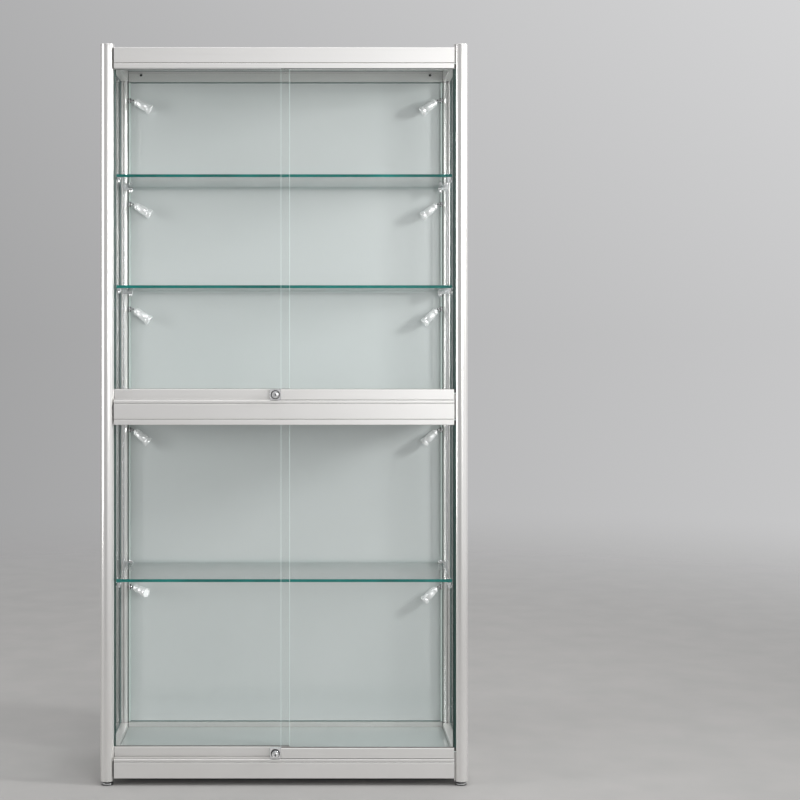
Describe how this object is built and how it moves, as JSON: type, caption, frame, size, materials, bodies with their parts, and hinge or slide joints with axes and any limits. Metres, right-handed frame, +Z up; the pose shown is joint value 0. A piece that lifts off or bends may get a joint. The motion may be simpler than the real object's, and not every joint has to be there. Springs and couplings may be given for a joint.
{
  "type": "glass display showcase",
  "caption": "Tall free-standing glass display cabinet: round aluminium posts, sliding glass doors with push locks, glass shelves and tilting spot lamps.",
  "frame": {"origin": "on the floor, below the middle of the whole cabinet; the lock plungers stand 16 mm before the posts, so the posts are centred at y = +8 mm", "axes": "+X to the right seen from the front, +Y towards the back, +Z up; the doors face -Y"},
  "size_m": [1, 0.416, 2.011],
  "materials": {
    "anodised_aluminium": "satin anodised",
    "clear_glass": "polished float glass, green at the edges",
    "white_panel": "smooth white laminate",
    "glossy_back": "glossy pale grey with a slight green cast",
    "chrome": "polished",
    "lamp_silver": "satin silver lacquer",
    "lamp_socket_plastic": "smooth",
    "zinc_plated_steel": "zinc plated"
  },
  "bodies": {
    "cabinet": {"front_left_post": "anodised_aluminium", "front_right_post": "anodised_aluminium", "rear_left_post": "anodised_aluminium", "rear_right_post": "anodised_aluminium", "top_front_rail": "anodised_aluminium", "top_rear_rail": "anodised_aluminium", "top_left_rail": "anodised_aluminium", "top_right_rail": "anodised_aluminium", "middle_front_rail": "anodised_aluminium", "middle_rear_rail": "anodised_aluminium", "middle_left_rail": "anodised_aluminium", "middle_right_rail": "anodised_aluminium", "bottom_front_rail": "anodised_aluminium", "bottom_rear_rail": "anodised_aluminium", "bottom_left_rail": "anodised_aluminium", "bottom_right_rail": "anodised_aluminium", "roof_panel": "white_panel", "middle_deck": "white_panel", "base_deck": "white_panel", "upper_back_panel": "glossy_back", "upper_left_side_glass": "clear_glass", "upper_right_side_glass": "clear_glass", "lower_back_panel": "glossy_back", "lower_left_side_glass": "clear_glass", "lower_right_side_glass": "clear_glass", "upper_top_shelf": "clear_glass", "upper_low_shelf": "clear_glass", "lower_shelf": "clear_glass", "front_left_shelf_support": "chrome", "front_right_shelf_support": "chrome", "rear_left_shelf_support": "chrome", "rear_right_shelf_support": "chrome", "left_lamp_harness": "lamp_socket_plastic", "right_lamp_harness": "lamp_socket_plastic"},
    "upper_left_door": {"upper_left_door_glass": "clear_glass", "upper_left_door_rail": "anodised_aluminium"},
    "upper_right_door": {"upper_right_door_glass": "clear_glass", "upper_right_door_rail": "anodised_aluminium", "upper_lock_housing": "chrome"},
    "upper_lock_plunger": {"upper_lock_plunger": "chrome"},
    "lower_left_door": {"lower_left_door_glass": "clear_glass", "lower_left_door_rail": "anodised_aluminium"},
    "lower_right_door": {"lower_right_door_glass": "clear_glass", "lower_right_door_rail": "anodised_aluminium", "lower_lock_housing": "chrome"},
    "lower_lock_plunger": {"lower_lock_plunger": "chrome"},
    "left_lamp_1": {"left_lamp_1_head": "lamp_silver"},
    "left_lamp_2": {"left_lamp_2_head": "lamp_silver"},
    "left_lamp_3": {"left_lamp_3_head": "lamp_silver"},
    "left_lamp_4": {"left_lamp_4_head": "lamp_silver"},
    "left_lamp_5": {"left_lamp_5_head": "lamp_silver"},
    "right_lamp_1": {"right_lamp_1_head": "lamp_silver"},
    "right_lamp_2": {"right_lamp_2_head": "lamp_silver"},
    "right_lamp_3": {"right_lamp_3_head": "lamp_silver"},
    "right_lamp_4": {"right_lamp_4_head": "lamp_silver"},
    "right_lamp_5": {"right_lamp_5_head": "lamp_silver"},
    "front_left_foot": {"front_left_foot": "zinc_plated_steel"},
    "front_right_foot": {"front_right_foot": "zinc_plated_steel"},
    "rear_left_foot": {"rear_left_foot": "zinc_plated_steel"},
    "rear_right_foot": {"rear_right_foot": "zinc_plated_steel"}
  },
  "joints": [
    {"name": "upper_left_door_slide", "type": "slide", "parent": "cabinet", "child": "upper_left_door", "axis": [1, 0, 0], "range_m": [0, 0.445]},
    {"name": "upper_right_door_slide", "type": "slide", "parent": "cabinet", "child": "upper_right_door", "axis": [-1, 0, 0], "range_m": [0, 0.422]},
    {"name": "upper_lock_press", "type": "slide", "parent": "upper_right_door", "child": "upper_lock_plunger", "axis": [0, 1, 0], "range_m": [0, 0.006], "stiffness_N_per_m": 150, "springref_m": -0.004},
    {"name": "lower_left_door_slide", "type": "slide", "parent": "cabinet", "child": "lower_left_door", "axis": [1, 0, 0], "range_m": [0, 0.445]},
    {"name": "lower_right_door_slide", "type": "slide", "parent": "cabinet", "child": "lower_right_door", "axis": [-1, 0, 0], "range_m": [0, 0.422]},
    {"name": "lower_lock_press", "type": "slide", "parent": "lower_right_door", "child": "lower_lock_plunger", "axis": [0, 1, 0], "range_m": [0, 0.006], "stiffness_N_per_m": 150, "springref_m": -0.004},
    {"name": "left_lamp_1_tilt", "type": "hinge", "parent": "cabinet", "child": "left_lamp_1", "pos_m": [-0.447, 0.172, 1.912], "axis": [0, 1, 0], "range_deg": [-38, 52]},
    {"name": "left_lamp_2_tilt", "type": "hinge", "parent": "cabinet", "child": "left_lamp_2", "pos_m": [-0.447, 0.172, 1.607], "axis": [0, 1, 0], "range_deg": [-41, 49]},
    {"name": "left_lamp_3_tilt", "type": "hinge", "parent": "cabinet", "child": "left_lamp_3", "pos_m": [-0.447, 0.172, 1.299], "axis": [0, 1, 0], "range_deg": [-46, 44]},
    {"name": "left_lamp_4_tilt", "type": "hinge", "parent": "cabinet", "child": "left_lamp_4", "pos_m": [-0.447, 0.172, 0.944], "axis": [0, 1, 0], "range_deg": [-49, 41]},
    {"name": "left_lamp_5_tilt", "type": "hinge", "parent": "cabinet", "child": "left_lamp_5", "pos_m": [-0.447, 0.172, 0.483], "axis": [0.6691, 0.7431, 0], "range_deg": [-22, 68]},
    {"name": "right_lamp_1_tilt", "type": "hinge", "parent": "cabinet", "child": "right_lamp_1", "pos_m": [0.447, 0.172, 1.912], "axis": [0, -1, 0], "range_deg": [-45, 45]},
    {"name": "right_lamp_2_tilt", "type": "hinge", "parent": "cabinet", "child": "right_lamp_2", "pos_m": [0.447, 0.172, 1.607], "axis": [0, -1, 0], "range_deg": [-49, 41]},
    {"name": "right_lamp_3_tilt", "type": "hinge", "parent": "cabinet", "child": "right_lamp_3", "pos_m": [0.447, 0.172, 1.299], "axis": [0, -1, 0], "range_deg": [-56, 34]},
    {"name": "right_lamp_4_tilt", "type": "hinge", "parent": "cabinet", "child": "right_lamp_4", "pos_m": [0.447, 0.172, 0.944], "axis": [0, -1, 0], "range_deg": [-54, 36]},
    {"name": "right_lamp_5_tilt", "type": "hinge", "parent": "cabinet", "child": "right_lamp_5", "pos_m": [0.447, 0.172, 0.483], "axis": [0, -1, 0], "range_deg": [-56, 34]},
    {"name": "front_left_foot_turn", "type": "hinge", "parent": "cabinet", "child": "front_left_foot", "pos_m": [-0.481, -0.173, 0], "axis": [0, 0, 1], "continuous": true},
    {"name": "front_right_foot_turn", "type": "hinge", "parent": "cabinet", "child": "front_right_foot", "pos_m": [0.481, -0.173, 0], "axis": [0, 0, 1], "continuous": true},
    {"name": "rear_left_foot_turn", "type": "hinge", "parent": "cabinet", "child": "rear_left_foot", "pos_m": [-0.481, 0.189, 0], "axis": [0, 0, 1], "continuous": true},
    {"name": "rear_right_foot_turn", "type": "hinge", "parent": "cabinet", "child": "rear_right_foot", "pos_m": [0.481, 0.189, 0], "axis": [0, 0, 1], "continuous": true}
  ]
}
